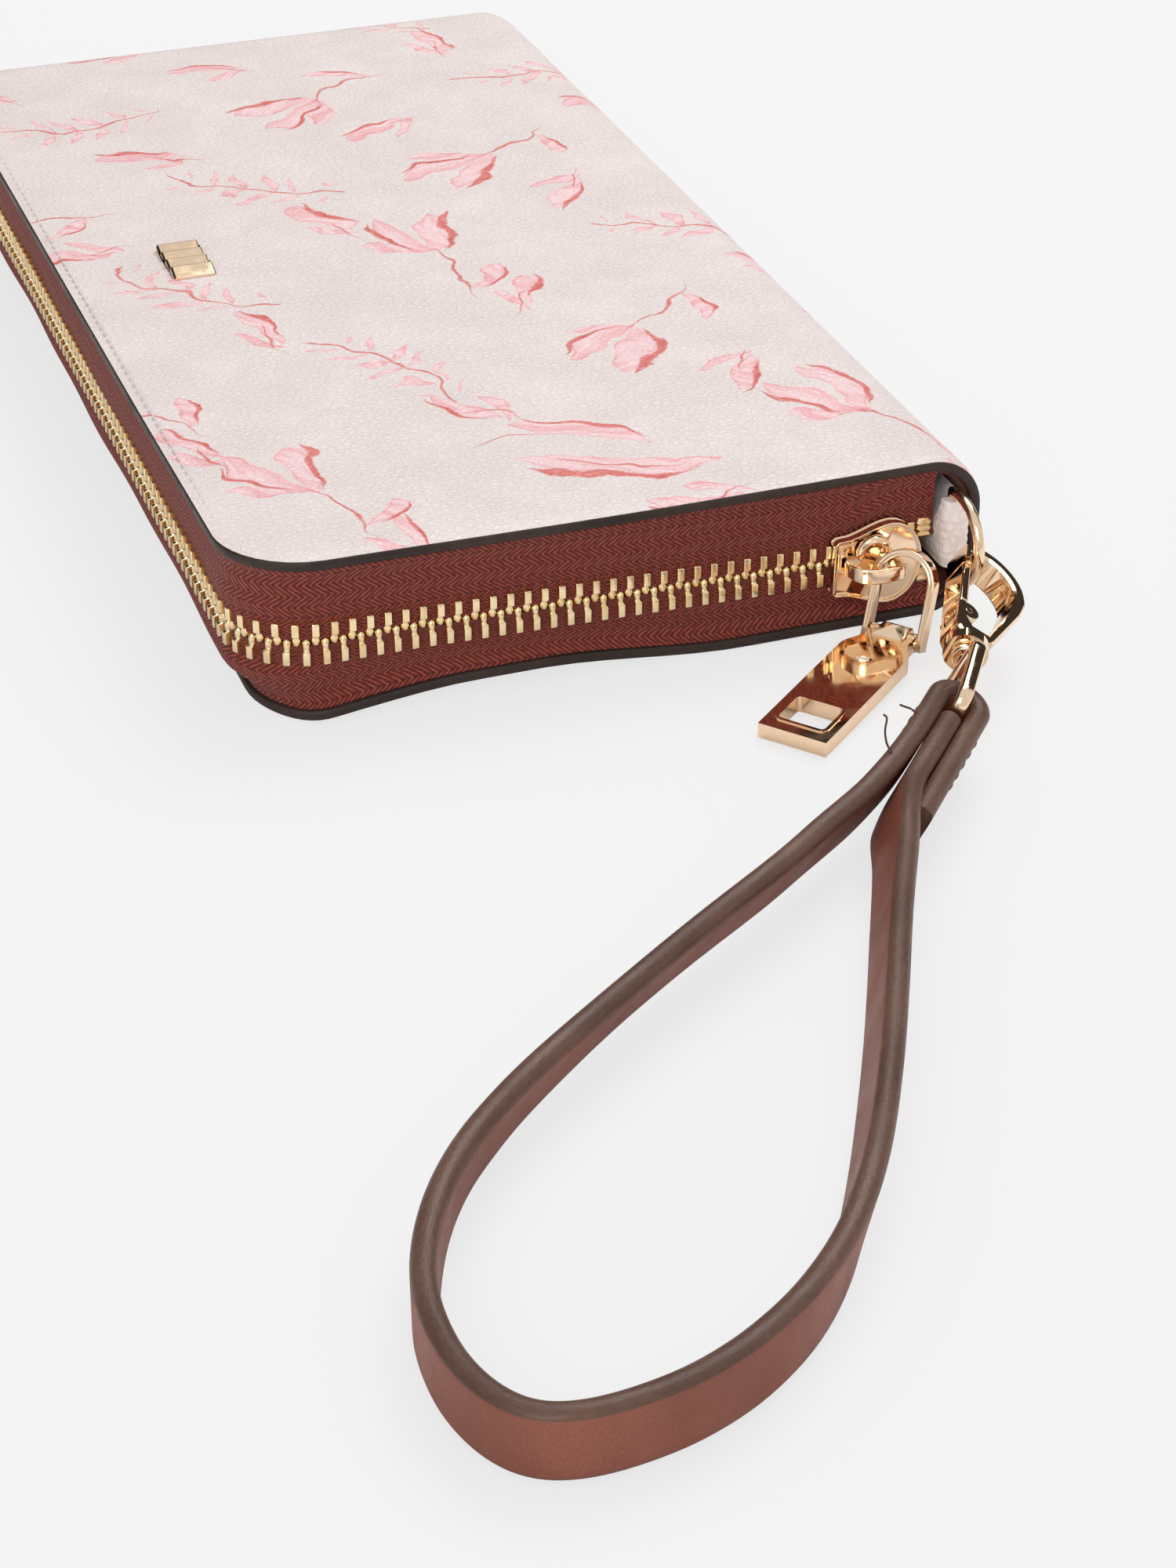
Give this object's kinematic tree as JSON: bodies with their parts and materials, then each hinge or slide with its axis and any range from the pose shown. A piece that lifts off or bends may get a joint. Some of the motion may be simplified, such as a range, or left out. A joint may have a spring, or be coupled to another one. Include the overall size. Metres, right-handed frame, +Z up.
{
  "type": "wristlet wallet",
  "caption": "Zip-around wallet with printed leather covers, fan gussets, card pockets, a zipped coin divider, and a wrist strap on a D-ring and swivel clasp.",
  "frame": {"origin": "centre of the underside of the back cover, on the surface that the wallet lies on", "axes": "+X from the zipper edge towards the spine, +Y along the length away from the end that carries the strap, +Z up through the thickness"},
  "size_m": [0.1216, 0.3386, 0.0252],
  "materials": {
    "cover_leather": "coated leather with a fine pebble grain and a printed flower pattern",
    "plain_leather": "smooth leather",
    "edge_paint": "rounded edge paint, satin",
    "board": "stiffening board",
    "lining": "woven lining",
    "zip_tape": "herringbone zipper tape",
    "zip_brass": "polished",
    "gold": "polished rose gold plating",
    "steel": "bright spring wire",
    "strap_leather": "smooth leather with painted edges",
    "thread": "sewing thread"
  },
  "bodies": {
    "back_half": {"back_leather": "cover_leather", "back_board": "board", "back_lining": "lining", "back_edge_paint": "edge_paint", "back_note_panel": "lining", "back_card_pockets_near": "plain_leather", "back_card_pockets_far": "plain_leather", "lower_zip_tape": "zip_tape", "lower_zip_teeth": "zip_brass", "lower_zip_stops": "zip_brass", "near_gusset": "zip_tape", "far_gusset": "zip_tape", "ring_tab": "plain_leather"},
    "front_half": {"front_leather": "cover_leather", "front_board": "board", "front_lining": "lining", "front_edge_paint": "edge_paint", "front_note_panel": "lining", "front_card_pockets_near": "plain_leather", "front_card_pockets_far": "plain_leather", "upper_zip_tape": "zip_tape", "upper_zip_teeth": "zip_brass", "upper_zip_stops": "zip_brass", "badge_plate": "gold", "badge_prongs": "gold"},
    "divider": {"coin_wall_back": "zip_tape", "coin_wall_front": "zip_tape", "coin_pocket_binding": "zip_tape", "coin_zip_tapes": "zip_tape", "coin_zip_teeth": "zip_brass"},
    "zip_slider": {"zip_slider_body": "gold", "zip_slider_bridge": "gold"},
    "bail": {"zip_bail": "gold"},
    "puller": {"zip_puller": "gold"},
    "d_ring": {"d_ring": "gold"},
    "clasp": {"clasp_body": "gold", "gate_pin": "gold", "gate_spring": "steel"},
    "gate": {"clasp_gate": "gold"},
    "swivel_eye": {"swivel_eye": "gold"},
    "strap": {"wrist_strap": "strap_leather", "strap_stitches": "thread"},
    "coin_slider": {"coin_zip_slider": "gold"},
    "coin_puller": {"coin_zip_puller": "gold"}
  },
  "joints": [
    {"name": "cover_open", "type": "hinge", "parent": "back_half", "child": "front_half", "pos_m": [0.0525, 0, 0.012], "axis": [0, 1, 0], "range_deg": [0, 95], "deforming": ["near_gusset", "far_gusset"]},
    {"name": "divider_turn", "type": "hinge", "parent": "back_half", "child": "divider", "pos_m": [0.0525, 0, 0.012], "axis": [0, 1, 0], "range_deg": [0, 47.5]},
    {"name": "zip_run", "type": "slide", "parent": "back_half", "child": "zip_slider", "axis": [-0.9996, 0, 0.0279], "range_m": [0, 0.066], "deforming": ["upper_zip_teeth", "lower_zip_teeth"]},
    {"name": "bail_swing", "type": "hinge", "parent": "zip_slider", "child": "bail", "pos_m": [0.0386, -0.10289, 0.0095], "axis": [-0.7303, -0.5914, 0.342], "range_deg": [0, 26]},
    {"name": "puller_turn", "type": "hinge", "parent": "bail", "child": "puller", "pos_m": [0.03653, -0.10457, 0.00217], "axis": [-0.6293, 0.7771, 0], "range_deg": [0, 70]},
    {"name": "ring_swing", "type": "hinge", "parent": "back_half", "child": "d_ring", "pos_m": [0.048, -0.097, 0.013], "axis": [0, 0, 1], "range_deg": [-2, 40]},
    {"name": "clasp_swing", "type": "hinge", "parent": "d_ring", "child": "clasp", "pos_m": [0.048, -0.0999, 0.013], "axis": [-1, 0, 0], "range_deg": [-20, 50]},
    {"name": "swivel_turn", "type": "hinge", "parent": "clasp", "child": "swivel_eye", "pos_m": [0.03826, -0.12254, 0.00893], "axis": [0.468, 0.8802, 0.0785], "continuous": true},
    {"name": "strap_swing", "type": "hinge", "parent": "swivel_eye", "child": "strap", "pos_m": [0.02891, -0.13596, 0.00681], "axis": [0.2723, -0.3354, 0.9019], "range_deg": [-30, 30]},
    {"name": "gate_open", "type": "hinge", "parent": "clasp", "child": "gate", "pos_m": [0.04019, -0.1164, 0.01019], "axis": [-0.45, 0.3138, -0.8361], "range_deg": [0, 22], "stiffness_Nm_per_rad": 0.004, "springref_deg": -20.05, "deforming": ["gate_spring"]},
    {"name": "coin_slide", "type": "slide", "parent": "divider", "child": "coin_slider", "axis": [0, -1, 0], "range_m": [0, 0.142]},
    {"name": "coin_pull", "type": "hinge", "parent": "coin_slider", "child": "coin_puller", "pos_m": [-0.0462, 0.0742, 0.012], "axis": [0, 0, 1], "range_deg": [-10, 4]}
  ],
  "couplings": [
    {"joint": "divider_turn", "follows": "cover_open", "ratio": 0.5}
  ]
}
